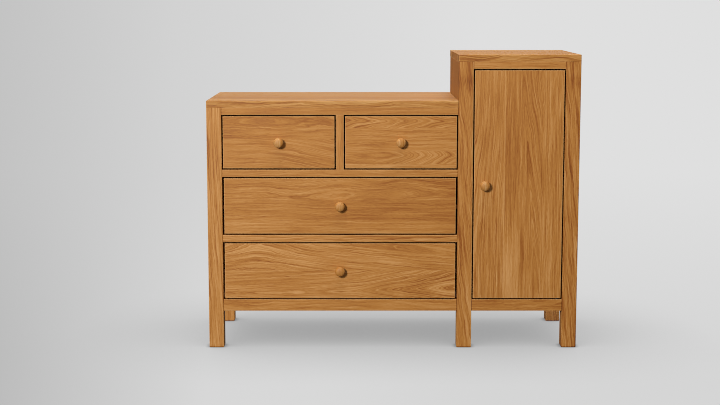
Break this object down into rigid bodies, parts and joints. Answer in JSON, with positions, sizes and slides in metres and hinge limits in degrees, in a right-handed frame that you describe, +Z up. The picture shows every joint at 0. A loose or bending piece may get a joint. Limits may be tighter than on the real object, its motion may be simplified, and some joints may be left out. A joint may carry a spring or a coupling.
{
  "type": "chest of drawers with cupboard",
  "caption": "Low oak chest of drawers joined to a taller one-door cupboard, with square posts that run down as legs, flush inset fronts and round turned knobs.",
  "frame": {"origin": "on the floor under the middle of the whole box, knobs included", "axes": "+X along the width towards the cupboard, +Y towards the back, +Z up; the front faces -Y"},
  "size_m": [1.2, 0.4786, 0.955],
  "materials": {
    "oak_post": "satin honey oak, grain upright",
    "oak_top": "satin honey oak, grain along the width",
    "oak_rail": "satin honey oak, grain along the rail",
    "oak_panel": "satin honey oak panel",
    "oak_front": "satin honey oak with cathedral figure",
    "oak_knob": "turned and waxed oak",
    "drawer_wood": "clear lacquered birch",
    "runner_wood": "waxed beech",
    "pivot_steel": "plain turned steel"
  },
  "bodies": {
    "case": {"front_left_post": "oak_post", "front_middle_post": "oak_post", "front_right_post": "oak_post", "rear_left_post": "oak_post", "rear_middle_post": "oak_post", "rear_right_post": "oak_post", "low_top": "oak_top", "tall_top": "oak_top", "low_top_rail": "oak_rail", "upper_drawer_rail": "oak_rail", "lower_drawer_rail": "oak_rail", "low_bottom_rail": "oak_rail", "tall_top_rail": "oak_rail", "tall_bottom_rail": "oak_rail", "rear_bottom_rail": "oak_rail", "drawer_divider": "oak_rail", "left_side_panel": "oak_panel", "partition_panel": "oak_panel", "right_side_panel": "oak_panel", "low_back_panel": "oak_panel", "tall_back_panel": "oak_panel", "cupboard_floor": "oak_panel", "shelf": "oak_panel", "top_left_drawer_left_runner": "runner_wood", "top_left_drawer_right_runner": "runner_wood", "top_right_drawer_left_runner": "runner_wood", "top_right_drawer_right_runner": "runner_wood", "middle_drawer_left_runner": "runner_wood", "middle_drawer_right_runner": "runner_wood", "bottom_drawer_left_runner": "runner_wood", "bottom_drawer_right_runner": "runner_wood", "upper_pivot_pin": "pivot_steel", "lower_pivot_pin": "pivot_steel", "door_catch": "pivot_steel"},
    "top_left_drawer": {"top_left_drawer_front": "oak_front", "top_left_drawer_left_side": "drawer_wood", "top_left_drawer_right_side": "drawer_wood", "top_left_drawer_back": "drawer_wood", "top_left_drawer_bottom": "drawer_wood", "top_left_drawer_knob": "oak_knob"},
    "top_right_drawer": {"top_right_drawer_front": "oak_front", "top_right_drawer_left_side": "drawer_wood", "top_right_drawer_right_side": "drawer_wood", "top_right_drawer_back": "drawer_wood", "top_right_drawer_bottom": "drawer_wood", "top_right_drawer_knob": "oak_knob"},
    "middle_drawer": {"middle_drawer_front": "oak_front", "middle_drawer_left_side": "drawer_wood", "middle_drawer_right_side": "drawer_wood", "middle_drawer_back": "drawer_wood", "middle_drawer_bottom": "drawer_wood", "middle_drawer_knob": "oak_knob"},
    "bottom_drawer": {"bottom_drawer_front": "oak_front", "bottom_drawer_left_side": "drawer_wood", "bottom_drawer_right_side": "drawer_wood", "bottom_drawer_back": "drawer_wood", "bottom_drawer_bottom": "drawer_wood", "bottom_drawer_knob": "oak_knob"},
    "door": {"door_panel": "oak_front", "door_knob": "oak_knob"}
  },
  "joints": [
    {"name": "top_left_drawer_slide", "type": "slide", "parent": "case", "child": "top_left_drawer", "axis": [0, -1, 0], "range_m": [0, 0.3]},
    {"name": "top_right_drawer_slide", "type": "slide", "parent": "case", "child": "top_right_drawer", "axis": [0, -1, 0], "range_m": [0, 0.3]},
    {"name": "middle_drawer_slide", "type": "slide", "parent": "case", "child": "middle_drawer", "axis": [0, -1, 0], "range_m": [0, 0.3]},
    {"name": "bottom_drawer_slide", "type": "slide", "parent": "case", "child": "bottom_drawer", "axis": [0, -1, 0], "range_m": [0, 0.3]},
    {"name": "door_hinge", "type": "hinge", "parent": "case", "child": "door", "pos_m": [0.53571, -0.20375, 0.5345], "axis": [0, 0, 1], "range_deg": [0, 110]}
  ]
}
